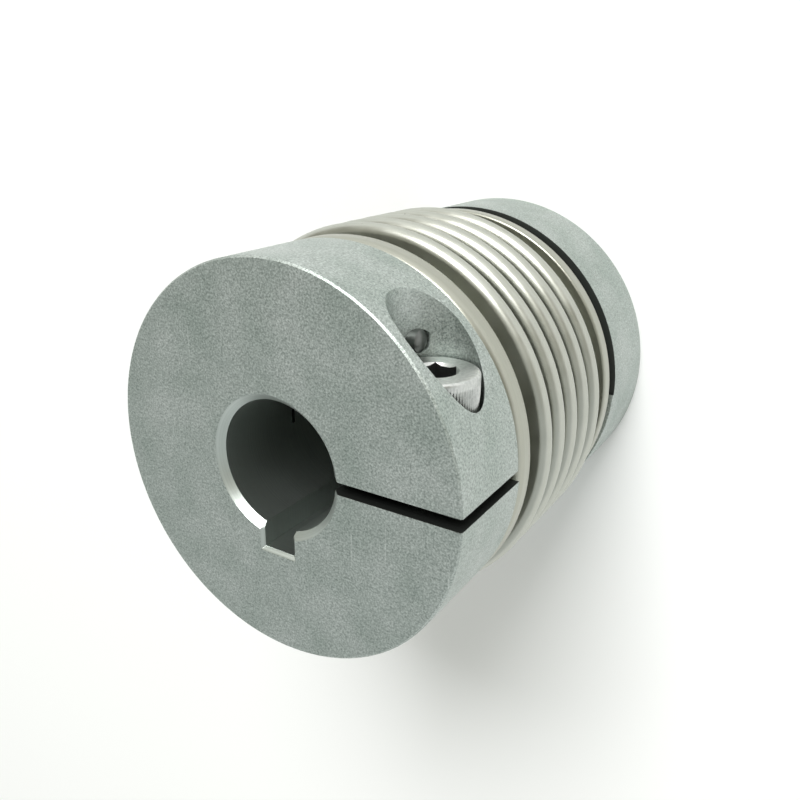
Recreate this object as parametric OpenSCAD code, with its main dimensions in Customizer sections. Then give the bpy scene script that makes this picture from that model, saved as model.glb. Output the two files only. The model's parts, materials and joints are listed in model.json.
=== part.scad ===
// Metal bellows shaft coupling with two radial clamping hubs.
// It stands on the rear hub: Z is the shaft axis and z = 0 is the rear hub's outer face.

/* [Hubs] */
// Outer diameter of both hubs and of the rings beside them
hub_d = 66; // [64:0.5:72]
// Axial length of the front hub's clamping jaws, from its outer face to the cross slit
jaw_len = 18.1; // [16:0.1:22]
// Axial length of the rear hub's clamping jaws
rear_jaw_len = 16.9; // [16:0.1:22]
// Chamfer on the outer edge of the outer face
hub_chamfer = 0.3; // [0.2:0.1:1.5]
// Length of the spigot that carries the bellows
spigot_len = 6.2; // [4.5:0.1:7]
// Diameter of the nose that reaches inside the bellows
nose_d = 36; // [34:0.5:46]
// Length of the nose
nose_len = 5.6; // [3:0.1:9]
// Chamfer at the end of the nose, outside and in the bore
nose_chamfer = 0.5; // [0.2:0.1:1]
// Angle about the shaft axis from the front hub's slot to the rear hub's slot
rear_turn = 180; // [0:15:345]

/* [Bore] */
// Shaft bore diameter
bore_d = 22; // [18:0.5:25]
// Chamfer at the mouth of the bore
bore_chamfer = 1.2; // [0.4:0.1:1.6]
// Keyway width
key_w = 6; // [4:0.5:8]
// Keyway depth, from the wall of the bore
key_depth = 3.8; // [1.8:0.1:5]
// Chamfer at the mouth of the keyway
key_chamfer = 0.6; // [0.2:0.1:1]

/* [Clamping slots] */
// Width of the slot that parts the jaws
slot_w = 2; // [1:0.1:3]
// Width of the cross slit that frees the upper jaw from the spigot
slit_w = 0.6; // [0.4:0.1:1.2]

/* [Clamp screw] */
// Nominal thread diameter
screw_d = 8; // [6:0.5:8]
// Diameter of the cap head
head_d = 13; // [12:0.1:13.5]
// Height of the cap head
head_h = 8; // [6:0.1:9]
// Hexagon key size, across flats
hex_af = 6; // [5:0.5:6]
// Depth of the hexagon socket
hex_depth = 4; // [3:0.1:5]
// Chamfer round the top of the head
head_chamfer = 0.5; // [0.2:0.1:1]
// Chamfer at the mouth of the hexagon socket
socket_chamfer = 0.4; // [0.1:0.1:0.6]
// Length of the screw under its head
screw_len = 25; // [22:1:28]
// Chamfer at the screw's tip
tip_chamfer = 0.8; // [0.3:0.1:1.5]
// How far the tapped hole runs past the screw's tip
hole_spare = 2; // [0.5:0.1:4]
// Distance of the screw from the hub's outer side, along the slot
screw_inset = 9.8; // [9:0.1:10.5]
// Height of the head's seat above the slot's middle plane
seat_y = 10; // [8:0.1:11]

/* [Release pin] */
// Diameter of the pin that the screw head pushes against when it is undone
pin_d = 3.6; // [2.5:0.1:4]
// Length of the pin
pin_len = 10; // [8:0.1:14]
// How far the pin stands out of the counterbore's wall, over the head's rim
pin_reach = 1.4; // [0.5:0.1:2]
// Distance of the pin from the screw's axis, along the shaft
pin_offset = 4.2; // [3.8:0.1:4.6]
// Gap between the head's top and the pin
pin_gap = 0.5; // [0.3:0.1:1]
// Radius of the dome on the pin's free end
pin_dome_r = 2.6; // [2.1:0.1:4]

/* [Bellows] */
// Diameter over the crests
crest_d = 68.6; // [64:0.1:72]
// Wall thickness
wall = 0.4; // [0.3:0.05:0.6]
// Distance from crest to crest
pitch = 5.6; // [5:0.02:6.4]
// Number of crests
crests = 5; // [3:1:8]
// Straight cuff at the front end, up to the first root
front_cuff_len = 6.6; // [6.5:0.1:10]
// Straight cuff at the rear end
rear_cuff_len = 8.8; // [6.5:0.1:10]
// How far the bellows and its ring stop short of the rear hub's shoulder
rear_gap = 1.3; // [0.2:0.1:2.4]

/* [Rings] */
// Axial width of the ring that holds the cuff on the spigot
ring_w = 4.2; // [3:0.1:5]
// Radial thickness of the ring
ring_wall = 5.1; // [3.5:0.1:7]
// Radius of the ring's edge beside the hub
ring_round = 2; // [1:0.1:2.6]
// Radius of the ring's edge beside the bellows
ring_edge = 0.5; // [0.3:0.1:1]

/* [Fits] */
// Radial play between cuff, spigot and ring
cuff_fit = 0.02; // [0.01:0.01:0.05]
// Radial play of the screw's head in its counterbore
head_fit = 0.55; // [0.4:0.05:1]
// Radial play of the screw's shank in the upper jaw
shank_fit = 0.3; // [0.2:0.05:0.5]
// Radial play of the screw in its tapped hole
thread_fit = 0.02; // [0.01:0.01:0.05]
// Radial play of the release pin in its hole
pin_fit = 0.02; // [0.01:0.01:0.05]

/* [Hidden] */
$fn = 96;
past = 1;
hub_r = hub_d / 2;
bore_r = bore_d / 2;
nose_r = nose_d / 2;
ring_inner_r = hub_r - ring_wall;
root_d = 2 * (ring_inner_r - cuff_fit - wall);
root_r = root_d / 2;
spigot_r = root_r - cuff_fit;
keyway_r = bore_r + key_depth;

// The bellows is a row of half circles joined by straight flanks
fold_r = pitch / 4;
crest_r = crest_d / 2 - fold_r - wall / 2;
valley_r = root_r + wall / 2 + fold_r;
bellows_z = shoulder_z(rear_jaw_len) + rear_gap;
bellows_len = front_cuff_len + rear_cuff_len + crests * pitch;
first_root_z = bellows_z + rear_cuff_len;
first_crest_z = first_root_z + pitch / 2;
length = bellows_z + bellows_len + shoulder_z(jaw_len);

screw_x = hub_r - screw_inset;
counterbore_d = head_d + 2 * head_fit;
counterbore_r = counterbore_d / 2;
shank_r = screw_d / 2;
tap_y = seat_y - screw_len - hole_spare;
hex_r = hex_af / 2 / cos(30);

pin_r = pin_d / 2;
pin_y = seat_y + head_h + pin_gap + pin_r;
pin_wall_x = screw_x - sqrt(pow(counterbore_r, 2) - pow(pin_offset, 2));
pin_end_x = pin_wall_x + pin_reach;
pin_dome_h = pin_dome_r - sqrt(pow(pin_dome_r, 2) - pow(pin_r, 2));

aluminium = "#b4b8b8";
stainless = "#c9c5b8";
bright_steel = "#d4d4d0";
dark_steel = "#6a6a68";

// Both hubs share one layout, drawn with z running inwards from the outer face.
// They differ in the length of their jaws, and the screw lies halfway along it.
function shoulder_z(jaws) = jaws + slit_w;
function spigot_z(jaws) = shoulder_z(jaws) + spigot_len;
function hub_len(jaws) = spigot_z(jaws) + nose_len;
function screw_z(jaws) = jaws / 2;
function pin_z(jaws) = screw_z(jaws) + pin_offset;

// The rear end is turned end for end, and then about the shaft axis
module front_end()
    translate([0, 0, length])
        mirror([0, 0, 1])
            children();

module rear_end()
    rotate([0, 0, rear_turn - 180])
        mirror([1, 0, 0])
            children();

// Lays an upright shape along +Y over the screw's place
module on_screw_axis(jaws, y)
    translate([screw_x, y, screw_z(jaws)])
        rotate([-90, 0, 0])
            children();

module hub_turning(jaws)
    rotate_extrude()
        polygon([
            [bore_r + bore_chamfer, 0],
            [hub_r - hub_chamfer, 0],
            [hub_r, hub_chamfer],
            [hub_r, shoulder_z(jaws)],
            [spigot_r, shoulder_z(jaws)],
            [spigot_r, spigot_z(jaws)],
            [nose_r, spigot_z(jaws)],
            [nose_r, hub_len(jaws) - nose_chamfer],
            [nose_r - nose_chamfer, hub_len(jaws)],
            [bore_r + nose_chamfer, hub_len(jaws)],
            [bore_r, hub_len(jaws) - nose_chamfer],
            [bore_r, bore_chamfer]
        ]);

module keyway(jaws)
    translate([-key_w / 2, -keyway_r, -past])
        cube([key_w, keyway_r, hub_len(jaws) + 2 * past]);

// The keyway's mouth flares on three sides
module keyway_mouth()
    intersection() {
        rotate([90, 0, 0])
            linear_extrude(keyway_r + key_chamfer + past)
                polygon([
                    [-key_w / 2 - key_chamfer - past, -past],
                    [key_w / 2 + key_chamfer + past, -past],
                    [key_w / 2, key_chamfer],
                    [-key_w / 2, key_chamfer]
                ]);
        translate([-key_w, 0, 0])
            rotate([90, 0, 90])
                linear_extrude(2 * key_w)
                    polygon([
                        [0, -past],
                        [-keyway_r - key_chamfer - past, -past],
                        [-keyway_r, key_chamfer],
                        [0, key_chamfer]
                    ]);
    }

module jaw_slot(jaws)
    translate([0, -slot_w / 2, -past])
        cube([hub_r + past, slot_w, shoulder_z(jaws) + past]);

module cross_slit(jaws)
    translate([-hub_r - past, -slot_w / 2, jaws])
        cube([2 * (hub_r + past), hub_r + past + slot_w / 2, slit_w]);

module screw_holes(jaws) {
    on_screw_axis(jaws, seat_y)
        cylinder(r = counterbore_r, h = hub_r);
    on_screw_axis(jaws, 0)
        cylinder(r = shank_r + shank_fit, h = seat_y + past);
    on_screw_axis(jaws, tap_y)
        cylinder(r = shank_r + thread_fit, h = -tap_y);
}

module pin_hole(jaws)
    translate([pin_end_x - pin_len, pin_y, pin_z(jaws)])
        rotate([0, 90, 0])
            cylinder(r = pin_r + pin_fit, h = pin_len);

module hub(jaws)
    difference() {
        hub_turning(jaws);
        keyway(jaws);
        keyway_mouth();
        jaw_slot(jaws);
        cross_slit(jaws);
        screw_holes(jaws);
        pin_hole(jaws);
    }

// Drawn from its edge beside the hub
module ring()
    rotate_extrude()
        intersection() {
            translate([ring_inner_r, 0])
                square([ring_wall, ring_w]);
            union() {
                translate([0, ring_round])
                    square([hub_r, ring_w - ring_round - ring_edge]);
                square([hub_r - ring_round, ring_w]);
                translate([hub_r - ring_round, ring_round])
                    circle(r = ring_round);
                translate([hub_r - ring_round, ring_round])
                    square([ring_round - ring_edge, ring_w - ring_round]);
                translate([hub_r - ring_edge, ring_w - ring_edge])
                    circle(r = ring_edge);
            }
        }

// The space inside one face of the bellows wall; skin is half a wall outwards or inwards
module bellows_filling(skin) {
    difference() {
        translate([0, first_root_z])
            square([valley_r, crests * pitch]);
        for (i = [0 : crests])
            translate([valley_r, first_root_z + i * pitch])
                circle(r = fold_r - skin);
    }
    for (i = [0 : crests - 1]) {
        translate([0, first_crest_z + i * pitch - fold_r - skin])
            square([crest_r, 2 * (fold_r + skin)]);
        translate([crest_r, first_crest_z + i * pitch])
            circle(r = fold_r + skin);
    }
    translate([0, bellows_z])
        square([root_r + wall / 2 + skin, bellows_len]);
}

module clamp_screw(jaws)
    on_screw_axis(jaws, seat_y)
        difference() {
            union() {
                cylinder(r = head_d / 2, h = head_h - head_chamfer);
                translate([0, 0, head_h - head_chamfer])
                    cylinder(r1 = head_d / 2, r2 = head_d / 2 - head_chamfer, h = head_chamfer);
                translate([0, 0, tip_chamfer - screw_len])
                    cylinder(r = shank_r, h = screw_len - tip_chamfer);
                translate([0, 0, -screw_len])
                    cylinder(r1 = shank_r - tip_chamfer, r2 = shank_r, h = tip_chamfer);
            }
            translate([0, 0, head_h - hex_depth])
                cylinder(r = hex_r, h = hex_depth + past, $fn = 6);
            translate([0, 0, head_h - socket_chamfer])
                cylinder(r1 = hex_r - socket_chamfer, r2 = hex_r, h = socket_chamfer);
        }

module release_pin(jaws)
    translate([pin_end_x, pin_y, pin_z(jaws)])
        rotate([0, -90, 0]) {
            translate([0, 0, pin_dome_h])
                cylinder(r = pin_r, h = pin_len - pin_dome_h);
            intersection() {
                cylinder(r = pin_r, h = pin_dome_h);
                translate([0, 0, pin_dome_r])
                    sphere(r = pin_dome_r);
            }
        }

module front_hub() color(aluminium) front_end() hub(jaw_len);
module rear_hub() color(aluminium) rear_end() hub(rear_jaw_len);
module front_ring() color(stainless) front_end() translate([0, 0, shoulder_z(jaw_len)]) ring();
module rear_ring() color(stainless) rear_end() translate([0, 0, bellows_z]) ring();
module front_clamp_screw() color(bright_steel) front_end() clamp_screw(jaw_len);
module rear_clamp_screw() color(bright_steel) rear_end() clamp_screw(rear_jaw_len);
module front_release_pin() color(dark_steel) front_end() release_pin(jaw_len);
module rear_release_pin() color(dark_steel) rear_end() release_pin(rear_jaw_len);

module bellows()
    color(stainless)
        rotate_extrude()
            difference() {
                bellows_filling(wall / 2);
                bellows_filling(-wall / 2);
            }

front_hub();
rear_hub();
bellows();
front_ring();
rear_ring();
front_clamp_screw();
rear_clamp_screw();
front_release_pin();
rear_release_pin();
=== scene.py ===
# %% [markdown]
# # A metal bellows coupling
#
# A bellows coupling joins two shafts. Each end is an aluminium hub that one cap screw clamps on its
# shaft, and a thin steel bellows between the hubs carries the torque and bends a little with the shafts.
# The solids come ready from the CAD model, at their real size and place. This lesson builds each of them
# again as a fine mesh with soft edges, gives it the finish of the real metal, and lights it like a
# product photograph.

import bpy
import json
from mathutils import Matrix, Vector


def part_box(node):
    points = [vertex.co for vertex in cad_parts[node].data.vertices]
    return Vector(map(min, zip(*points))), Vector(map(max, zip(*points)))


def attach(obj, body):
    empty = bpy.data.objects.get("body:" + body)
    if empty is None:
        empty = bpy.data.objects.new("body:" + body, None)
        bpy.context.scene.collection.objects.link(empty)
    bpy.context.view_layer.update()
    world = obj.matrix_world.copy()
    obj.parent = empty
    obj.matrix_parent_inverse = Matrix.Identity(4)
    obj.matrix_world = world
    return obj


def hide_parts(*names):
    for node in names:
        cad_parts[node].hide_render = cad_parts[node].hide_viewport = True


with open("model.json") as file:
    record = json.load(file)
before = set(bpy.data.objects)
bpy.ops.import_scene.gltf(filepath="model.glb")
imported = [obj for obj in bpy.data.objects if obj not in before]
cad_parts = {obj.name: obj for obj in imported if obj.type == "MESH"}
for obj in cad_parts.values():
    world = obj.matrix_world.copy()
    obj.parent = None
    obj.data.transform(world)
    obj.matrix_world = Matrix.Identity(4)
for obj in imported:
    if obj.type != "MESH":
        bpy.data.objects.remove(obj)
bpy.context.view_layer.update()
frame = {"nodes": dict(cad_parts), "record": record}
print("solids in the frame:", sorted(frame["nodes"]))

# %% [markdown]
# ## Units and sizes
#
# Blender counts in metres here and a machinist thinks in millimetres, so all sizes below are in
# millimetres and are scaled once, when a piece is dressed. A size could be typed in again, but the frame
# already has the big ones, so they are read from the solids' boxes. Only what no box shows, such as a
# chamfer, is written down as a value.

# %% Sizes read from the frame
import json
from collections import namedtuple
from math import asin, ceil, cos, degrees, pi, radians, sin, tan

import bmesh
import bpy
from mathutils import Matrix, Vector

MM = 0.001


def node_box(node):
    """Lowest and highest corner of a solid of the frame, in millimetres."""
    return [[round(value / MM, 2) for value in corner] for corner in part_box(node)]


LENGTH = node_box("front_hub")[1][2]
HUB_R = round(node_box("front_hub")[1][0], 1)     # the solid's flat facets fall a little short of its round
BORE_R = frame["record"]["mounts"][0]["dims"]["r_mm"]
print(f"length {LENGTH}, hub radius {HUB_R}, bore radius {BORE_R} mm")

# %% [markdown]
# ## Two ends
#
# Hub, ring, screw and pin come twice, once at each end. The rear end is turned end for end about the Y
# axis, and its jaws are a little shorter. Each piece could be modelled in its final place, but then the
# rear ones would need a second set of numbers. So both are drawn in the same way, with the outer face at
# height 0 and the rest of the hub below it, and a matrix puts each end in its place.

# %% The two ends
SPIGOT_LEN = 6.2
NOSE_LEN = 5.6
End = namedtuple("End", "name place shoulder ring screw")     # the last three are depths below the outer face


def mid_height(node):
    """Height of the middle of a solid."""
    low, high = node_box(node)
    return (low[2] + high[2]) / 2


front = End(
    "front", Matrix.Translation((0, 0, LENGTH)),
    LENGTH - node_box("front_hub")[0][2] - NOSE_LEN - SPIGOT_LEN,
    LENGTH - node_box("front_ring")[1][2],
    LENGTH - mid_height("front_clamp_screw"))
rear = End(
    "rear", Matrix.Rotation(pi, 4, "Y"),
    node_box("rear_hub")[1][2] - NOSE_LEN - SPIGOT_LEN,
    node_box("rear_ring")[0][2],
    mid_height("rear_clamp_screw"))
for end in (front, rear):
    print(f"{end.name} end: shoulder {end.shoulder:.2f}, ring {end.ring:.2f}, screw {end.screw:.2f} mm deep")

# %% [markdown]
# ## Turning a profile on a lathe
#
# Hubs, rings, bellows, screws and pins were all turned or rolled, so each is a profile spun about an
# axis. Blender has a Screw modifier for that, but a small function of our own also lets the radius vary
# round the turn, which later cuts the knurl and the thread. A profile is a list of (radius, height)
# points; one that starts and ends on the axis closes itself, and any other is joined back to its first
# point.

# %% Lathe and rounded corners
ROUND_STEPS = 384       # steps round a hub or a ring
SAME_POINT = 1e-6


def arc(centre, radius, start, stop, steps):
    """Points along an arc from start to stop, in degrees, about a (radius, height) centre."""
    turns = [radians(start + (stop - start) * i / steps) for i in range(steps + 1)]
    return [(centre[0] + radius * cos(t), centre[1] + radius * sin(t)) for t in turns]


def rounded(corners, steps=4):
    """A closed outline from (radius, height, corner round) points, each corner turned into a small arc."""
    outline = []
    for i, (x, y, round_r) in enumerate(corners):
        corner = Vector((x, y))
        before = (Vector(corners[i - 1][:2]) - corner).normalized()
        after = (Vector(corners[(i + 1) % len(corners)][:2]) - corner).normalized()
        if round_r == 0:
            outline.append((x, y))
            continue
        half = before.angle(after) / 2
        centre = corner + (before + after).normalized() * (round_r / sin(half))
        first = (corner + before * (round_r / tan(half)) - centre).normalized()
        last = (corner + after * (round_r / tan(half)) - centre).normalized()
        for k in range(steps + 1):
            outline.append(tuple(centre + round_r * first.slerp(last, k / steps)))
    return outline


def spin(profile, steps, ripple=None):
    """A bmesh of a profile spun about Z; ripple(angle, radius, height) is added to the radius."""
    mesh = bmesh.new()
    closed = profile[0][0] > 0
    rings = []
    for i in range(steps):
        turn = 2 * pi * i / steps
        ring = []
        for radius, height in profile:
            grown = radius + (ripple(turn, radius, height) if ripple and radius > 0 else 0)
            ring.append(mesh.verts.new((grown * cos(turn), grown * sin(turn), height)))
        rings.append(ring)
    count = len(profile)
    for i in range(steps):
        here, there = rings[i], rings[(i + 1) % steps]
        for k in range(count if closed else count - 1):
            n = (k + 1) % count
            mesh.faces.new((here[k], there[k], there[n], here[n]))
    if not closed:
        poles = [v for ring in rings for v in (ring[0], ring[-1])]
        bmesh.ops.remove_doubles(mesh, verts=poles, dist=SAME_POINT)
    bmesh.ops.recalc_face_normals(mesh, faces=mesh.faces)
    return mesh


flat_side_error = HUB_R * (1 - cos(pi / ROUND_STEPS))
print("a hub's circle in", ROUND_STEPS, "steps is off by", round(flat_side_error, 4), "mm at most")

# %% [markdown]
# ## From mesh to piece
#
# A piece needs more than a mesh: it has to ride on a body of the frame and stand for the solid it
# replaces. One function does all of that, so that no piece forgets a step. Smooth shading with a sharp
# limit of 35 degrees keeps turned faces round and true edges crisp, and normals weighted by area keep
# the narrow rounds from bending the light on the flat faces beside them.

# %% Pieces
SHARP = radians(35)
LARGE_FACES = 80        # how strongly large faces lead the shading, from 1 to 100


def make_object(name, mesh, place=Matrix.Identity(4)):
    """An object from a bmesh, put in place and still in millimetres."""
    data = bpy.data.meshes.new(name)
    mesh.to_mesh(data)
    mesh.free()
    data.transform(place)
    piece = bpy.data.objects.new(name, data)
    bpy.context.scene.collection.objects.link(piece)
    return piece


def apply_modifiers(piece):
    """The piece's mesh with its modifiers worked in, so that none is left on it."""
    graph = bpy.context.evaluated_depsgraph_get()
    data = bpy.data.meshes.new_from_object(piece.evaluated_get(graph))
    piece.modifiers.clear()
    old = piece.data
    piece.data = data
    bpy.data.meshes.remove(old)


def flatten_normals(piece):
    """Lets large faces set the shading of the points that they share with small ones."""
    piece.data.shade_smooth()
    piece.data.set_sharp_from_angle(angle=SHARP)
    weigh = piece.modifiers.new("large_faces_first", "WEIGHTED_NORMAL")
    weigh.keep_sharp = True
    weigh.weight = LARGE_FACES
    apply_modifiers(piece)


def dress(piece, node):
    """Shades the piece, scales it to metres, and lets it ride on the body and stand for its solid."""
    flatten_normals(piece)
    piece.data.transform(Matrix.Scale(MM, 4))
    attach(piece, "root")
    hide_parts(node)
    faces = sum(len(polygon.vertices) - 2 for polygon in piece.data.polygons)
    print(f"{piece.name}: {faces} triangles for {node}")


print("edges sharper than", round(degrees(SHARP)), "degrees stay crisp")

# %% [markdown]
# ## The bellows
#
# The bellows starts as a thin stainless tube that is pressed outwards into folds. Its wall runs in half
# circles, a crest, a root, a crest, joined by straight flanks, and ends in a plain cuff at each side. It
# could be a curve with a Solidify modifier, but drawing both faces of the wall keeps the thickness exact.
# The outer face gets many points for clean highlights, the hidden inner face fewer.

# %% Bellows
BELLOWS_LOW, BELLOWS_HIGH = (corner[2] for corner in node_box("bellows"))
CREST_SPARE = 0.01      # the crests stay this far inside the solid's box
CREST_R = node_box("bellows")[1][0] - CREST_SPARE
WALL = 0.4
CRESTS = 5
PITCH = 5.6
REAR_CUFF = 8.8
RING_WALL = 5.1
CUFF_FIT = 0.02
FOLD_R = PITCH / 4
ROOT_R = HUB_R - RING_WALL - CUFF_FIT - WALL
FIRST_ROOT = BELLOWS_LOW + REAR_CUFF
OUT_OF_ROUND = 0.02
SECOND_WAVE = 0.6
OUTER_STEPS, INNER_STEPS = 16, 8        # steps in each half circle of the wall
BELLOWS_STEPS = 320


def bellows_face(skin, steps):
    """One face of the bellows wall from low to high; skin is half a wall outwards or inwards."""
    crest_centre = CREST_R - FOLD_R - WALL / 2
    root_centre = ROOT_R + WALL / 2 + FOLD_R
    cuff = ROOT_R + WALL / 2 + skin
    points = [(cuff, BELLOWS_LOW)]
    points += arc((root_centre, FIRST_ROOT), FOLD_R - skin, 180, 90, steps // 2)
    for i in range(CRESTS):
        crest = FIRST_ROOT + (i + 0.5) * PITCH
        points += arc((crest_centre, crest), FOLD_R + skin, -90, 90, steps)
        last = i == CRESTS - 1
        points += arc((root_centre, crest + PITCH / 2), FOLD_R - skin, -90, -180 if last else -270,
                      steps // 2 if last else steps)
    return points + [(cuff, BELLOWS_HIGH)]


def hand_rolled(turn, radius, height):
    """Pressed crests are never quite round: up to a few hundredths of a millimetre inwards."""
    fold = height / PITCH
    depth = max(0, (radius - ROOT_R) / (CREST_R - ROOT_R))
    waves = sin(2 * turn + 1.3 * fold) + SECOND_WAVE * sin(3 * turn - 0.7 * fold)
    return OUT_OF_ROUND * depth * (waves - 1 - SECOND_WAVE)


wall_outline = bellows_face(WALL / 2, OUTER_STEPS) + bellows_face(-WALL / 2, INNER_STEPS)[::-1]
bellows = make_object("corrugated_bellows", spin(wall_outline, BELLOWS_STEPS, hand_rolled))
dress(bellows, "bellows")
print("points in the wall's outline:", len(wall_outline))

# %% [markdown]
# ## The rings
#
# A turned ring holds each cuff of the bellows on its hub. The edge beside the hub is well rounded, and
# the one beside the bellows only broken. A Bevel modifier would give all edges the same width, so the
# ring is one profile with four corners instead, and rounded() gives each corner its own radius.

# %% Rings
RING_W = node_box("front_ring")[1][2] - node_box("front_ring")[0][2]
RING_ROUND = 2
RING_EDGE = 0.5
RING_INNER_BREAK = 0.2
RING_STEPS = 10


def cuff_ring(end):
    """The ring of one end, from its rounded edge inwards."""
    corners = [
        (HUB_R - RING_WALL, -end.ring, RING_INNER_BREAK),
        (HUB_R, -end.ring, RING_ROUND),
        (HUB_R, -end.ring - RING_W, RING_EDGE),
        (HUB_R - RING_WALL, -end.ring - RING_W, RING_INNER_BREAK),
    ]
    ring = make_object(end.name + "_cuff_ring", spin(rounded(corners, RING_STEPS), ROUND_STEPS), end.place)
    dress(ring, end.name + "_ring")
    return ring


rings = [cuff_ring(front), cuff_ring(rear)]

# %% [markdown]
# ## The hubs
#
# A hub is turned first and cut afterwards, and the mesh is made in the same order. It could be modelled
# as one mesh by hand, but a lathe profile with a small round on each edge keeps every size in one place.
# Three finishes meet on a hub, and each face keeps the number of its own: the tumbled outside, the reamed
# bore with its keyway, and the sawn walls of the slot and the slit. A cutter hands its number to the
# faces that it leaves.

# %% Hub turning
TUMBLED, REAMED, SAWN = range(3)
HUB_CHAMFER = 0.3
BORE_CHAMFER = 1.2
NOSE_CHAMFER = 0.5
NOSE_R = 18
EDGE_ROUND = 0.1
SPIGOT_R = ROOT_R - CUFF_FIT


def turned_hub(end):
    """The hub as it leaves the lathe, with its bore already reamed."""
    spigot_end = end.shoulder + SPIGOT_LEN
    nose_end = spigot_end + NOSE_LEN
    corners = [
        (BORE_R + BORE_CHAMFER, 0, EDGE_ROUND),
        (HUB_R - HUB_CHAMFER, 0, EDGE_ROUND),
        (HUB_R, -HUB_CHAMFER, EDGE_ROUND),
        (HUB_R, -end.shoulder, EDGE_ROUND),
        (SPIGOT_R, -end.shoulder, 0),
        (SPIGOT_R, -spigot_end, EDGE_ROUND),
        (NOSE_R, -spigot_end, 0),
        (NOSE_R, NOSE_CHAMFER - nose_end, EDGE_ROUND),
        (NOSE_R - NOSE_CHAMFER, -nose_end, EDGE_ROUND),
        (BORE_R + NOSE_CHAMFER, -nose_end, EDGE_ROUND),
        (BORE_R, NOSE_CHAMFER - nose_end, EDGE_ROUND),
        (BORE_R, -BORE_CHAMFER, EDGE_ROUND),
    ]
    mesh = spin(rounded(corners), ROUND_STEPS)
    for face in mesh.faces:
        middle = face.calc_center_median()
        if middle.xy.length < BORE_R + BORE_CHAMFER - EDGE_ROUND:
            face.material_index = REAMED
    return mesh


print("hub profile:", HUB_R, "mm outside,", SPIGOT_R, "mm spigot,", NOSE_R, "mm nose")

# %% [markdown]
# ## The cutters
#
# A hub has a keyway, a slot between its two jaws, a cross slit behind the upper jaw, a counterbore for
# the head of the screw, and holes for the screw and the release pin. They could be modelled into the
# topology, but a solid in the shape of each tool's cut follows the real machining. Each cutter goes past
# the surface that it opens.

# %% Hub cutters
SLOT_W = 2
SLIT_W = 0.6
KEY_W = 6
KEY_DEPTH = 3.8
KEY_CHAMFER = 0.6
SEAT_Y = 10
HEAD_FIT = 0.55
SHANK_FIT = 0.3
HOLE_SPARE = 2
PIN_OFFSET = 4.2
PIN_FIT = 0.02
PAST = 1
OVERCUT = 0.03      # a cutter that would share a plane with the hub goes this much deeper
screw_low, screw_high = node_box("front_clamp_screw")
pin_low, pin_high = node_box("front_release_pin")
SCREW_X = (screw_low[0] + screw_high[0]) / 2
HEAD_R = (screw_high[0] - screw_low[0]) / 2
SHANK_R = 4
PIN_R = (pin_high[1] - pin_low[1]) / 2
PIN_Y = (pin_low[1] + pin_high[1]) / 2
HOLE_STEPS = 128
SHANK_STEPS = 100       # a first try with 128 left a gap in this hole's wall
PIN_STEPS = 64


def loft(levels, finish):
    """A cutter through rectangles, each given as (height, lowest x, highest x, lowest y, highest y)."""
    mesh = bmesh.new()
    loops = []
    for z, x0, x1, y0, y1 in levels:
        corners = ((x0, y0, z), (x1, y0, z), (x1, y1, z), (x0, y1, z))
        loops.append([mesh.verts.new(corner) for corner in corners])
    for below, above in zip(loops, loops[1:]):
        for k in range(4):
            mesh.faces.new((below[k], below[k - 3], above[k - 3], above[k]))
    mesh.faces.new(loops[0][::-1])
    mesh.faces.new(loops[-1])
    bmesh.ops.recalc_face_normals(mesh, faces=mesh.faces)
    for face in mesh.faces:
        face.material_index = finish
    return mesh


def rod(radius, start, stop, axis, steps=HOLE_STEPS):
    """A round cutter from a start point along an axis ("X" or "Y") to a coordinate on it."""
    length = stop - start["XY".index(axis)]
    mesh = spin([(0, 0), (radius, 0), (radius, length), (0, length)], steps)
    turn = Matrix.Rotation(pi / 2, 4, "Y") if axis == "X" else Matrix.Rotation(-pi / 2, 4, "X")
    bmesh.ops.transform(mesh, matrix=Matrix.Translation(start) @ turn, verts=mesh.verts)
    return mesh


def keyway(depth):
    """The keyway, with a mouth that widens towards the face for its chamfer."""
    half, reach = KEY_W / 2, BORE_R + KEY_DEPTH
    wide = KEY_CHAMFER + PAST
    return loft([
        (-depth, -half, half, -reach, 0),
        (-KEY_CHAMFER, -half, half, -reach, 0),
        (PAST, -half - wide, half + wide, -reach - wide, 0),
    ], REAMED)


def slot_and_slit(shoulder):
    """The slot between the jaws on the +X side, and the slit behind the upper jaw, as one cutter."""
    out, half = HUB_R + PAST, SLOT_W / 2
    low, high = -shoulder - OVERCUT, SLIT_W - shoulder
    # Across X the section is an L: the slit lies flat, and the slot stands up at its end.
    ell = [(-half, low), (out, low), (out, high), (half, high), (half, PAST), (-half, PAST)]
    mesh = bmesh.new()
    a, b, c, d, e, f = [mesh.verts.new((out, y, z)) for y, z in ell]
    a0, b0, c0, d0, e0, f0 = [mesh.verts.new((0, y, z)) for y, z in ell]
    # On the -X side only the slit goes on, and g is its fourth corner.
    g0 = mesh.verts.new((0, -half, high))
    a1, b1, c1, g1 = [mesh.verts.new((-out, y, z)) for y, z in ell[:3] + [(-half, high)]]
    slot_faces = [
        (a, b, c, d, e, f), (a, b, b0, a0), (b, c, c0, b0), (c, d, d0, c0),
        (d, e, e0, d0), (e, f, f0, e0), (f, a, a0, g0, f0), (g0, d0, e0, f0),
    ]
    slit_faces = [
        (a0, b0, b1, a1), (b0, c0, c1, b1), (c0, d0, g0, g1, c1), (g0, a0, a1, g1), (a1, b1, c1, g1),
    ]
    for loop in slot_faces + slit_faces:
        mesh.faces.new(loop).material_index = SAWN
    bmesh.ops.recalc_face_normals(mesh, faces=mesh.faces)
    return mesh


def cutters(end):
    """What is cut out of a turned hub before its edges are broken."""
    return [
        keyway(end.shoulder + SPIGOT_LEN + NOSE_LEN + PAST),
        slot_and_slit(end.shoulder),
        rod(HEAD_R + HEAD_FIT, (SCREW_X, SEAT_Y, -end.screw), HUB_R + PAST, "Y"),
    ]


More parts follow.
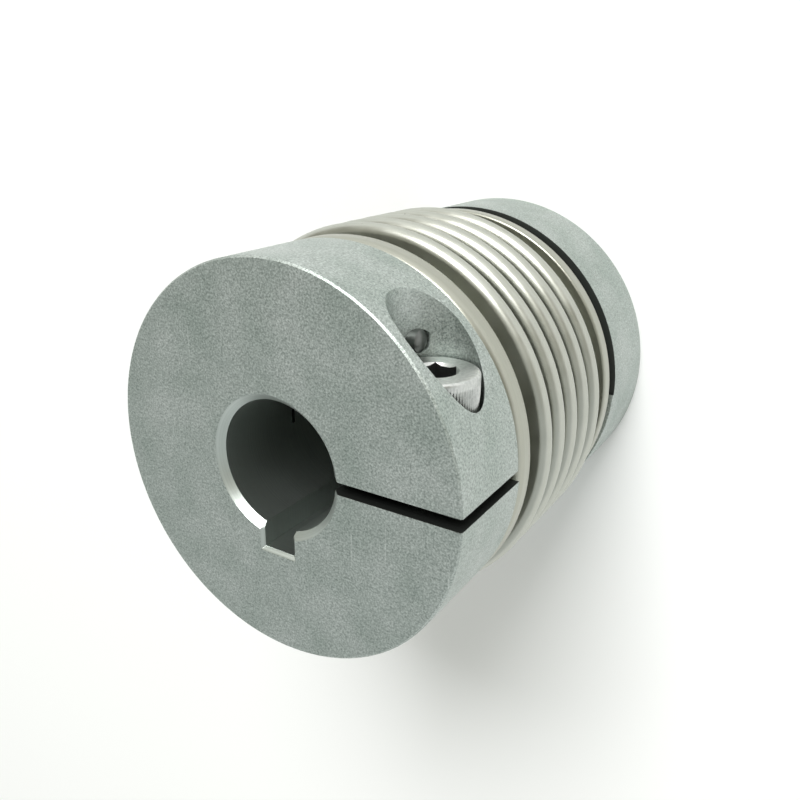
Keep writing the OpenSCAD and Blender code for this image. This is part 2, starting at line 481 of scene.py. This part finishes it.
def small_holes(end):
    """The holes of the pin, the shank and the thread, whose mouths lie deep inside and keep sharp edges."""
    hole_low = screw_low[1] - HOLE_SPARE
    pin_depth = end.screw + PIN_OFFSET
    return [
        rod(PIN_R + PIN_FIT, (pin_low[0], PIN_Y, -pin_depth), pin_high[0], "X", PIN_STEPS),
        rod(SHANK_R + SHANK_FIT, (SCREW_X, 0, -end.screw), SEAT_Y + PAST, "Y", SHANK_STEPS),
        rod(SHANK_R, (SCREW_X, hole_low, -end.screw), 0, "Y"),
    ]


print(len(cutters(front)) + len(small_holes(front)), "cutters for a hub")

# %% [markdown]
# ## Cutting the hubs
#
# A Boolean modifier takes each cutter away. After the large cuts a narrow Bevel breaks their edges, as
# tumbling does on the real hub, so that they catch the light. The Bevel could work by angle on the
# finished hub, but it folds small faces over each other where edges crowd. So it only takes edges in
# front of the slit's floor, and the small holes are cut last and keep sharp mouths.

# %% Cut the hubs
WELD = 0.001
BROKEN_EDGE = 0.12


def add_finish_slots(piece):
    """Empty material slots for the three finishes, filled once the finishes are made."""
    for _ in (TUMBLED, REAMED, SAWN):
        piece.data.materials.append(None)


def combine(piece, tools, operation):
    """Cuts the tools out of the piece, or joins them to it, one after the other."""
    for tool_mesh in tools:
        tool = make_object("tool", tool_mesh)
        add_finish_slots(tool)
        step = piece.modifiers.new("tool", "BOOLEAN")
        step.operation = operation
        step.solver = "EXACT"
        step.material_mode = "INDEX"
        step.object = tool
        apply_modifiers(piece)
        bpy.data.objects.remove(tool)


def weld(piece):
    """Joins the corners that a cut leaves almost on top of each other."""
    welded = bmesh.new()
    welded.from_mesh(piece.data)
    bmesh.ops.remove_doubles(welded, verts=welded.verts, dist=WELD)
    welded.to_mesh(piece.data)
    welded.free()


def break_edges(piece, width, lowest):
    """A narrow two-step bevel on every sharp edge above a height; edges deep inside stay sharp."""
    marked = bmesh.new()
    marked.from_mesh(piece.data)
    weight = marked.edges.layers.float.new("bevel_weight_edge")
    for edge in marked.edges:
        if edge.calc_face_angle(0) > SHARP and all(vert.co.z > lowest for vert in edge.verts):
            edge[weight] = 1.0
    marked.to_mesh(piece.data)
    marked.free()
    bevel = piece.modifiers.new("broken_edges", "BEVEL")
    bevel.width = width
    bevel.segments = 2
    bevel.limit_method = "WEIGHT"
    bevel.use_clamp_overlap = False
    apply_modifiers(piece)
    piece.data.attributes.remove(piece.data.attributes["bevel_weight_edge"])


def clamp_hub(end):
    """One hub, turned, cut and with its edges broken, in its place."""
    hub = make_object(end.name + "_clamp_hub", turned_hub(end))
    add_finish_slots(hub)
    combine(hub, cutters(end), "DIFFERENCE")
    weld(hub)
    break_edges(hub, BROKEN_EDGE, BROKEN_EDGE - end.shoulder)
    combine(hub, small_holes(end), "DIFFERENCE")
    hub.data.transform(end.place)
    dress(hub, end.name + "_hub")
    return hub


hubs = [clamp_hub(front), clamp_hub(rear)]

# %% [markdown]
# ## The clamp screws
#
# Each hub is closed by a socket cap screw. What the eye knows it by is the fine knurl round the head and
# the hexagon socket in the top; the thread only shows as a few lines in the slot. A knurl could be bump,
# but at this distance its teeth break the outline of the head, so they are real: spin() lets the radius
# rise and fall round the turn. The thread is made the same way, climbing one pitch each turn.

# %% Screws
HEAD_H = screw_high[1] - SEAT_Y
HEAD_CHAMFER = 0.5
KNURLS = 84
KNURL_DEPTH = 0.16
KNURL_LOW = 0.6
KNURL_HIGH = HEAD_H - 1.1
KNURL_FADE_LOW, KNURL_FADE_HIGH = 0.5, 0.4
KNURL_ROWS = 12
STEPS_A_KNURL = 6
SEAT_BREAK = 0.3
HEX_R = 3 / cos(pi / 6)
HEX_DEPTH = 4
SOCKET_CHAMFER = 0.4
SHADED_SOCKET = 1           # the material slot of the socket, whose darker steel is painted shade in its deep recess
THREAD_PITCH = 1.25
THREAD_DEPTH = 0.55
THREAD_STEPS = 8
SCREW_LEN = SEAT_Y - screw_low[1]
THREAD_LEN = SCREW_LEN - 1
TIP_CHAMFER = 0.8
THREAD_RUN_IN = 0.6
PLAIN_NECK = 2
THREAD_RUN_OUT = 1.5
INTO_HEAD = 0.4         # the shank goes this far into the head that it is joined to
SHANK_ROUND_STEPS = 64
MOUTH_STEPS = 96
SKIN = 0.01             # points less than this under the outside belong to it


def knurl(turn, radius, height):
    """Teeth round the side of the head that fade out at both ends of the knurled band."""
    if radius < HEAD_R - SKIN:
        return 0
    low = max(0, (height - KNURL_LOW) / KNURL_FADE_LOW)
    high = max(0, (KNURL_HIGH - height) / KNURL_FADE_HIGH)
    fade = min(1, low, high)
    return -KNURL_DEPTH * fade * (0.5 + 0.5 * cos(KNURLS * turn))


def thread(turn, radius, height):
    """A vee thread that climbs one pitch each turn and runs out at the tip and under the head."""
    if radius < SHANK_R - SKIN:
        return 0
    phase = (height / THREAD_PITCH - turn / (2 * pi)) % 1
    run_in = max(0, (height + SCREW_LEN - TIP_CHAMFER) / THREAD_RUN_IN)
    run_out = max(0, -height - PLAIN_NECK) / THREAD_RUN_OUT
    fade = min(1, run_in, run_out)
    return -THREAD_DEPTH * fade * abs(2 * phase - 1)


def screw_head():
    """The head from its seat upwards, knurled, with the edges of a cold formed blank."""
    rise = HEAD_H - HEAD_CHAMFER
    band = KNURL_HIGH - KNURL_LOW
    rows = [(HEAD_R, KNURL_LOW + band * i / KNURL_ROWS) for i in range(KNURL_ROWS + 1)]
    shoulder = arc((HEAD_R - HEAD_CHAMFER, rise), HEAD_CHAMFER, 0, 90, 5)
    profile = [(0, 0), (HEAD_R - SEAT_BREAK, 0), (HEAD_R, SEAT_BREAK)] + rows + shoulder + [(0, HEAD_H)]
    return spin(profile, KNURLS * STEPS_A_KNURL, knurl)


def screw_shank():
    """The threaded shank, from its chamfered tip up into the head."""
    count = ceil(THREAD_LEN / THREAD_PITCH * THREAD_STEPS)
    low, high = TIP_CHAMFER - SCREW_LEN, INTO_HEAD
    rows = [(SHANK_R, low + (high - low) * i / count) for i in range(count + 1)]
    tip = [(0, -SCREW_LEN), (SHANK_R - TIP_CHAMFER, -SCREW_LEN)]
    return spin(tip + rows + [(0, high)], SHANK_ROUND_STEPS, thread)


def hex_socket():
    """Cutters for the hexagon socket and its chamfered mouth."""
    top, floor_z, mouth_z = HEAD_H + PAST, HEAD_H - HEX_DEPTH, HEAD_H - SOCKET_CHAMFER
    socket = [(0, floor_z), (HEX_R, floor_z), (HEX_R, top), (0, top)]
    mouth = [(0, mouth_z), (HEX_R - SOCKET_CHAMFER, mouth_z), (HEX_R + PAST, top), (0, top)]
    tools = [spin(socket, 6), spin(mouth, MOUTH_STEPS)]
    # The socket's walls and floor take the darker steel as painted shade for the recess.
    for face in tools[0].faces:
        face.material_index = SHADED_SOCKET
    return tools


def cap_screw(end):
    """One screw, drawn upright, then laid along Y into its hole and put at its end."""
    screw = make_object(end.name + "_cap_screw", screw_head())
    add_finish_slots(screw)
    combine(screw, [screw_shank()], "UNION")
    combine(screw, hex_socket(), "DIFFERENCE")
    seat = Matrix.Translation((SCREW_X, SEAT_Y, -end.screw)) @ Matrix.Rotation(-pi / 2, 4, "X")
    screw.data.transform(end.place @ seat)
    dress(screw, end.name + "_clamp_screw")
    return screw


screws = [cap_screw(front), cap_screw(rear)]

# %% [markdown]
# ## The release pins
#
# A hardened dowel lies across the rim of each screw head. When the screw is undone, its head pushes
# against the dowel and spreads the jaws. Only its end shows. It could be a plain cylinder, but a domed
# end catches a point of light, so it is one turned profile with an arc on top.

# %% Pins
PIN_DOME_R = 2.6
PIN_LEN = pin_high[0] - pin_low[0]
PIN_BREAK = 0.2


def dowel(end):
    """One dowel, drawn upright with its dome on top, then laid along X over the screw's head."""
    rim = 90 - degrees(asin(PIN_R / PIN_DOME_R))
    dome = arc((0, PIN_LEN - PIN_DOME_R), PIN_DOME_R, rim, 90, 8)[:-1]
    profile = [(0, 0), (PIN_R - PIN_BREAK, 0), (PIN_R, PIN_BREAK)] + dome + [(0, PIN_LEN)]
    hole = Matrix.Translation((pin_low[0], PIN_Y, -end.screw - PIN_OFFSET)) @ Matrix.Rotation(pi / 2, 4, "Y")
    pin = make_object(end.name + "_dowel", spin(profile, PIN_STEPS), end.place @ hole)
    dress(pin, end.name + "_release_pin")
    return pin


pins = [dowel(front), dowel(rear)]

# %% [markdown]
# ## Materials: the tools
#
# Colours are written as sRGB hex values, as a colour picker shows them, and one function turns them into
# the linear values that a shader needs. Another small function adds any node: settings go to its
# properties or sockets, links join it to nodes that are there already. Patterns are sized in millimetres,
# and the texture space is in metres, so a feature's scale is one over its size.

# %% Colour and node helpers
def linear(hex_colour):
    """An sRGB hex colour as a linear RGBA tuple."""
    parts = [int(hex_colour[i:i + 2], 16) / 255 for i in (1, 3, 5)]
    return tuple(c / 12.92 if c <= 0.04045 else ((c + 0.055) / 1.055) ** 2.4 for c in parts) + (1.0,)


def per_mm(size):
    """Texture scale for features of that many millimetres."""
    return 1 / (size * MM)


def add_node(tree, kind, settings=None, links=None):
    """Adds a node; settings are properties or sockets, links are sockets and what feeds them."""
    node = tree.nodes.new("ShaderNode" + kind)
    for key, value in (settings or {}).items():
        if isinstance(key, str) and hasattr(node, key):
            setattr(node, key, value)
        else:
            node.inputs[key].default_value = value
    for key, source in (links or {}).items():
        tree.links.new(source, node.inputs[key])
    return node


def new_metal(name, roughness=0.5):
    """A metallic Principled material; returns the material, its tree, its shader and the texture place."""
    material = bpy.data.materials.new(name)
    material.use_nodes = True
    tree = material.node_tree
    shader = tree.nodes["Principled BSDF"]
    shader.inputs["Metallic"].default_value = 1.0
    shader.inputs["Roughness"].default_value = roughness
    place = add_node(tree, "TexCoord").outputs["Object"]
    return material, tree, shader, place


def blend(tree, factor, first, last):
    """The colour between two hex colours at a factor from 0 to 1."""
    colours = {"data_type": "RGBA", "A": linear(first), "B": linear(last)}
    return add_node(tree, "Mix", colours, {0: factor}).outputs["Result"]


print("mid grey #808080 is", round(linear("#808080")[0], 3), "in linear light")

# %% [markdown]
# ## Tumbled aluminium
#
# The hubs are turned from aluminium bar and then tumbled with ceramic grit, so the face is a soft grey
# full of tiny dents: a fine speckle, larger clouds and a few stray scratches instead of turning lines. It
# could be one grey with a grainy bump, but the dents also hold a little grey residue, so speckle and
# clouds go into the colour and the roughness too. The real dents are about 0.1 mm wide, too fine for the
# picture, so they are drawn about 0.3 mm wide.

# %% Tumbled aluminium
GRIT = 0.32
CLOUD = 9
SCRATCH_LEN = 14
SCRATCH_W = 0.35
SCRATCH_TILT = radians(35)


def tumbled_aluminium():
    """A soft, speckled grey: the eye sees a matt metal that has rubbed against stones."""
    material, tree, shader, place = new_metal("tumbled_aluminium")
    grit = add_node(tree, "TexNoise", {"Scale": per_mm(GRIT), "Detail": 3.0, "Roughness": 0.65},
                    {"Vector": place})
    cloud = add_node(tree, "TexNoise", {"Scale": per_mm(CLOUD), "Detail": 4.0}, {"Vector": place})
    speckle = add_node(tree, "MapRange", {"From Min": 0.32, "From Max": 0.68}, {"Value": grit.outputs["Fac"]})
    clouds = add_node(tree, "MapRange", {"From Min": 0.3, "From Max": 0.7}, {"Value": cloud.outputs["Fac"]})
    dents = blend(tree, speckle.outputs["Result"], "#949b97", "#d3d9d6")
    veil = blend(tree, clouds.outputs["Result"], "#e4e9e6", "#ffffff")
    shaded = add_node(tree, "Mix", {"data_type": "RGBA", "blend_type": "MULTIPLY", 0: 1.0},
                      {"A": dents, "B": veil})
    along = {"Rotation": (0.0, 0.0, SCRATCH_TILT), "Scale": (1.0, SCRATCH_W / SCRATCH_LEN, 1.0)}
    stretch = add_node(tree, "Mapping", along, {"Vector": place})
    streak = add_node(tree, "TexNoise", {"Scale": per_mm(SCRATCH_W), "Detail": 0.0},
                      {"Vector": stretch.outputs["Vector"]})
    scratch = add_node(tree, "MapRange", {"From Min": 0.78, "From Max": 0.84, "To Max": 0.25},
                       {"Value": streak.outputs["Fac"]})
    colour = add_node(tree, "Mix", {"data_type": "RGBA", "B": linear("#e9edea")},
                      {0: scratch.outputs["Result"], "A": shaded.outputs["Result"]})
    rough = add_node(tree, "MapRange", {"To Min": 0.44, "To Max": 0.6}, {"Value": speckle.outputs["Result"]})
    bump = add_node(tree, "Bump", {"Strength": 0.8, "Distance": 0.06 * MM}, {"Height": grit.outputs["Fac"]})
    tree.links.new(colour.outputs["Result"], shader.inputs["Base Color"])
    tree.links.new(rough.outputs["Result"], shader.inputs["Roughness"])
    tree.links.new(bump.outputs["Normal"], shader.inputs["Normal"])
    return material


tumbled = tumbled_aluminium()
for hub in hubs:
    hub.data.materials[TUMBLED] = tumbled
print("hub finish:", tumbled.name)

# %% [markdown]
# ## Reamed and sawn aluminium
#
# Tumbling stones don't reach into the bore and the slot. The bore keeps fine rings from the reamer, so it
# is smoother and shows long streaks of light. The slot and the slit are sawn, and their near-black colour
# is painted shade that stands in for the shadow deep in the narrow cut. Both could be the tumbled finish in
# the dark, but then the bore looks dusty and the slot too light. The rings follow the height, so the
# pattern is stretched along the turn by giving the noise only the height.

# %% Reamed and sawn aluminium
REAMER_LINE = 0.25
SAW_LINE = 0.3


def height_lines(tree, place, size):
    """A noise that changes only with the height, which makes rings on anything turned about the axis."""
    axes = add_node(tree, "SeparateXYZ", None, {"Vector": place})
    along = add_node(tree, "CombineXYZ", None, {"Z": axes.outputs["Z"]})
    lines = add_node(tree, "TexNoise", {"Scale": per_mm(size), "Detail": 2.0},
                     {"Vector": along.outputs["Vector"]})
    return lines.outputs["Fac"]


def reamed_aluminium():
    """A smoother, slightly darker grey: the eye sees a drilled and reamed hole."""
    material, tree, shader, place = new_metal("reamed_aluminium")
    lines = height_lines(tree, place, REAMER_LINE)
    rough = add_node(tree, "MapRange", {"To Min": 0.34, "To Max": 0.48}, {"Value": lines})
    bump = add_node(tree, "Bump", {"Strength": 0.25, "Distance": 0.02 * MM}, {"Height": lines})
    tree.links.new(blend(tree, lines, "#a9b1ac", "#d2d9d5"), shader.inputs["Base Color"])
    tree.links.new(rough.outputs["Result"], shader.inputs["Roughness"])
    tree.links.new(bump.outputs["Normal"], shader.inputs["Normal"])
    return material


def sawn_aluminium_painted_shade():
    """Nearly black: painted shade that stands in for the shadow deep in the narrow slot and slit."""
    material, tree, shader, place = new_metal("sawn_aluminium_painted_shade", 0.55)
    lines = height_lines(tree, place, SAW_LINE)
    bump = add_node(tree, "Bump", {"Strength": 0.4, "Distance": 0.04 * MM}, {"Height": lines})
    # The near-black base colour is painted shade for the deep, narrow cut.
    tree.links.new(blend(tree, lines, "#383b39", "#595d5a"), shader.inputs["Base Color"])
    tree.links.new(bump.outputs["Normal"], shader.inputs["Normal"])
    return material


reamed, slot_shade = reamed_aluminium(), sawn_aluminium_painted_shade()
for hub in hubs:
    hub.data.materials[REAMED] = reamed
    # The slot and the slit take the near-black painted shade.
    hub.data.materials[SAWN] = slot_shade
print("bore finish:", reamed.name, "and slot finish:", slot_shade.name)

# %% [markdown]
# ## Stainless steel
#
# The bellows is bright rolled strip, pressed into folds. The steel is warmer and smoother than the
# aluminium, and shows its surroundings as soft bands along each fold. The press leaves a slight haze and
# a few dark specks of scale. The rings are turned from bar, so they have fine lines round them and a
# duller shine. Both could share one steel, but strip and bar mirror the light differently, so each has
# its own.

# %% Stainless steel
HAZE = 4
SPECK = 1.1
TURNING_LINE = 0.3


def rolled_stainless():
    """A warm, clear shine: the eye reads thin springy sheet."""
    material, tree, shader, place = new_metal("rolled_stainless")
    haze = add_node(tree, "TexNoise", {"Scale": per_mm(HAZE), "Detail": 4.0}, {"Vector": place})
    speck = add_node(tree, "TexNoise", {"Scale": per_mm(SPECK), "Detail": 1.0}, {"Vector": place})
    spots = add_node(tree, "MapRange", {"From Min": 0.8, "From Max": 0.83}, {"Value": speck.outputs["Fac"]})
    strip = blend(tree, haze.outputs["Fac"], "#b2b4ab", "#c3c5bd")
    colour = add_node(tree, "Mix", {"data_type": "RGBA", "B": linear("#6a675d")},
                      {0: spots.outputs["Result"], "A": strip})
    rough = add_node(tree, "MapRange", {"From Min": 0.3, "From Max": 0.7, "To Min": 0.34, "To Max": 0.42},
                     {"Value": haze.outputs["Fac"]})
    tree.links.new(colour.outputs["Result"], shader.inputs["Base Color"])
    tree.links.new(rough.outputs["Result"], shader.inputs["Roughness"])
    return material


def turned_stainless():
    """A greyer shine with faint rings: the eye reads a piece from the lathe."""
    material, tree, shader, place = new_metal("turned_stainless")
    lines = height_lines(tree, place, TURNING_LINE)
    rough = add_node(tree, "MapRange", {"To Min": 0.28, "To Max": 0.4}, {"Value": lines})
    bump = add_node(tree, "Bump", {"Strength": 0.2, "Distance": 0.02 * MM}, {"Height": lines})
    tree.links.new(blend(tree, lines, "#a2a398", "#b9baaf"), shader.inputs["Base Color"])
    tree.links.new(rough.outputs["Result"], shader.inputs["Roughness"])
    tree.links.new(bump.outputs["Normal"], shader.inputs["Normal"])
    return material


rolled, turned = rolled_stainless(), turned_stainless()
bellows.data.materials.append(rolled)
for ring in rings:
    ring.data.materials.append(turned)
print("bellows finish:", rolled.name, "and ring finish:", turned.name)

# %% [markdown]
# ## Screw and pin steel
#
# The screw is zinc plated: a light, grainy shine that is broken by the knurl. The dowel is hardened and
# ground, with a thin dark scale on its end. Both are plain steels and could be one material in two
# colours, but the plating also needs its grain. The hexagon socket takes the dark steel too, as painted
# shade in its deep recess.

# %% Screw and pin steel
PLATING_GRAIN = 0.5
SCALE = 1


def plated_steel():
    """Light and grainy: the eye sees a plated standard screw."""
    material, tree, shader, place = new_metal("zinc_plated_steel", 0.38)
    grain = add_node(tree, "TexNoise", {"Scale": per_mm(PLATING_GRAIN), "Detail": 4.0}, {"Vector": place})
    bump = add_node(tree, "Bump", {"Strength": 0.6, "Distance": 0.05 * MM}, {"Height": grain.outputs["Fac"]})
    tree.links.new(blend(tree, grain.outputs["Fac"], "#a9acaa", "#e6e8e5"), shader.inputs["Base Color"])
    tree.links.new(bump.outputs["Normal"], shader.inputs["Normal"])
    return material


def hardened_steel():
    """Dark with a soft sheen: the eye sees the end of a hardened dowel."""
    material, tree, shader, place = new_metal("hardened_dark_steel", 0.35)
    haze = add_node(tree, "TexNoise", {"Scale": per_mm(SCALE), "Detail": 3.0}, {"Vector": place})
    tree.links.new(blend(tree, haze.outputs["Fac"], "#5a5d5b", "#868886"), shader.inputs["Base Color"])
    return material


plated, hardened = plated_steel(), hardened_steel()
for screw in screws:
    screw.data.materials[0] = plated
    # The socket's dark steel is painted shade in its recess.
    screw.data.materials[SHADED_SOCKET] = hardened
    screw.data.materials.pop()
for pin in pins:
    pin.data.materials.append(hardened)
print("screw finish:", plated.name, "and pin finish:", hardened.name)

# %% [markdown]
# ## Floor
#
# The coupling stands on a sheet of white paper that fills the whole picture. The paper is matt, so it
# takes the soft shadow, and every metal face mirrors it. In the photograph it is exposed to pure white.
# More light would burn out the metal too. So the camera, and the metal that mirrors the paper, see a
# share of plain white emission mixed into the paper, and the object itself is lit only by the matt part.

# %% Floor
FLOOR_HALF = 3000
FLOOR_WHITE = 0.05      # share of plain white in the paper, for the camera and for mirroring metal
floor_mesh = bmesh.new()
bmesh.ops.create_grid(floor_mesh, x_segments=1, y_segments=1, size=FLOOR_HALF * MM)
floor = make_object("floor", floor_mesh)
paper = bpy.data.materials.new("white_paper")
paper.use_nodes = True
paper_tree = paper.node_tree
paper_shader = paper_tree.nodes["Principled BSDF"]
paper_shader.inputs["Base Color"].default_value = linear("#f6f7f7")
paper_shader.inputs["Roughness"].default_value = 0.9
paper_shader.inputs["Specular IOR Level"].default_value = 0.2
ray = add_node(paper_tree, "LightPath").outputs
seen = add_node(paper_tree, "Math", {"operation": "MAXIMUM"},
                {0: ray["Is Camera Ray"], 1: ray["Is Glossy Ray"]})
share = add_node(paper_tree, "Math", {"operation": "MULTIPLY", 1: FLOOR_WHITE},
                 {0: seen.outputs["Value"]})
white = add_node(paper_tree, "Emission", {"Strength": 1.0})
lit_paper = add_node(paper_tree, "MixShader", None,
                     {0: share.outputs["Value"], 1: paper_shader.outputs["BSDF"],
                      2: white.outputs["Emission"]})
paper_tree.links.new(lit_paper.outputs["Shader"], paper_tree.nodes["Material Output"].inputs["Surface"])
floor.data.materials.append(paper)
print("floor", 2 * FLOOR_HALF, "mm wide")

# %% [markdown]
# ## Light
#
# Metal has no colour of its own to speak of: it shows what is round it. In the photograph the coupling
# lies on a white table, so one side of its surroundings is pale, and the other is the dimmer, warmer
# room. The world has the same two halves, pale on the side that is down in the picture, with a bright
# band along the horizon. One large soft lamp on the side that is up in the picture throws the shadow.
# More lamps could light it too, but a world also shows in every fold of the metal.

# %% Light
PALE_SIDE, ROOM_SIDE = -0.25, 0.2       # Y of the direction, where the pale half ends and the room begins
BAND_TOP = 0.35                         # Z of the direction, where the bright band ends
BAND_STRENGTH = 1.4
world = bpy.data.worlds.new("studio")
bpy.context.scene.world = world
world.use_nodes = True
sky = world.node_tree
direction = add_node(sky, "TexCoord").outputs["Generated"]
sky_axes = add_node(sky, "SeparateXYZ", None, {"Vector": direction})
side = add_node(sky, "MapRange",
                {"interpolation_type": "SMOOTHSTEP", "From Min": PALE_SIDE, "From Max": ROOM_SIDE},
                {"Value": sky_axes.outputs["Y"]})
band = add_node(sky, "MapRange", {"interpolation_type": "SMOOTHSTEP", "From Min": BAND_TOP, "From Max": 0.0},
                {"Value": sky_axes.outputs["Z"]})
room = blend(sky, side.outputs["Result"], "#d3d7d5", "#a3a193")
dome = add_node(sky, "Mix", {"data_type": "RGBA", "B": linear("#ffffff")},
                {0: band.outputs["Result"], "A": room})
strength = add_node(sky, "MapRange", {"To Min": 1.0, "To Max": BAND_STRENGTH},
                    {"Value": band.outputs["Result"]})
sky.links.new(dome.outputs["Result"], sky.nodes["Background"].inputs["Color"])
sky.links.new(strength.outputs["Result"], sky.nodes["Background"].inputs["Strength"])

LAMP_WAY = Vector((0.08, 0.75, 0.62)).normalized()
LAMP_FAR = 3000
LAMP_SIZE = 1500
LAMP_POWER = 95
lamp_data = bpy.data.lights.new("soft_box", "AREA")
lamp_data.shape = "SQUARE"
lamp_data.size = LAMP_SIZE * MM
lamp_data.energy = LAMP_POWER
lamp = bpy.data.objects.new("soft_box", lamp_data)
bpy.context.scene.collection.objects.link(lamp)
lamp.location = LAMP_WAY * LAMP_FAR * MM
lamp.rotation_euler = (-LAMP_WAY).to_track_quat("-Z", "Y").to_euler()
print("lamp", LAMP_FAR, "mm away,", LAMP_SIZE, "mm square")

# %% [markdown]
# ## Camera
#
# The photograph shows the coupling lying down, while the part stands on its end. So the camera looks from
# the same side of the part as the photographer did, and is rolled until +Y points up in the picture. The
# place, the aim and the lens could be set by eye, but here they come from the ellipses of the hubs and
# the bore in the picture.

# %% Camera
CAMERA_PLACE = Vector((76.06, 54.66, LENGTH + 85.23))
CAMERA_AIM = Vector((-2.25, -1.97, LENGTH - 40.5))
CAMERA_LENS = 36.25
CAMERA_ROLL = 0.43
camera_data = bpy.data.cameras.new("camera")
camera_data.lens = CAMERA_LENS
camera_data.sensor_width = 36
camera_data.clip_start = 0.001
camera = bpy.data.objects.new("camera", camera_data)
bpy.context.scene.collection.objects.link(camera)
back = (CAMERA_PLACE - CAMERA_AIM).normalized()
right = Vector((0, 1, 0)).cross(back).normalized()
facing = Matrix((right, back.cross(right), back)).transposed()
rolled_view = facing @ Matrix.Rotation(radians(CAMERA_ROLL), 3, "Z")
camera.matrix_world = Matrix.Translation(CAMERA_PLACE * MM) @ rolled_view.to_4x4()
bpy.context.scene.camera = camera
bpy.context.scene.view_settings.view_transform = "Standard"
print("camera", round((CAMERA_PLACE - CAMERA_AIM).length), "mm from its aim")
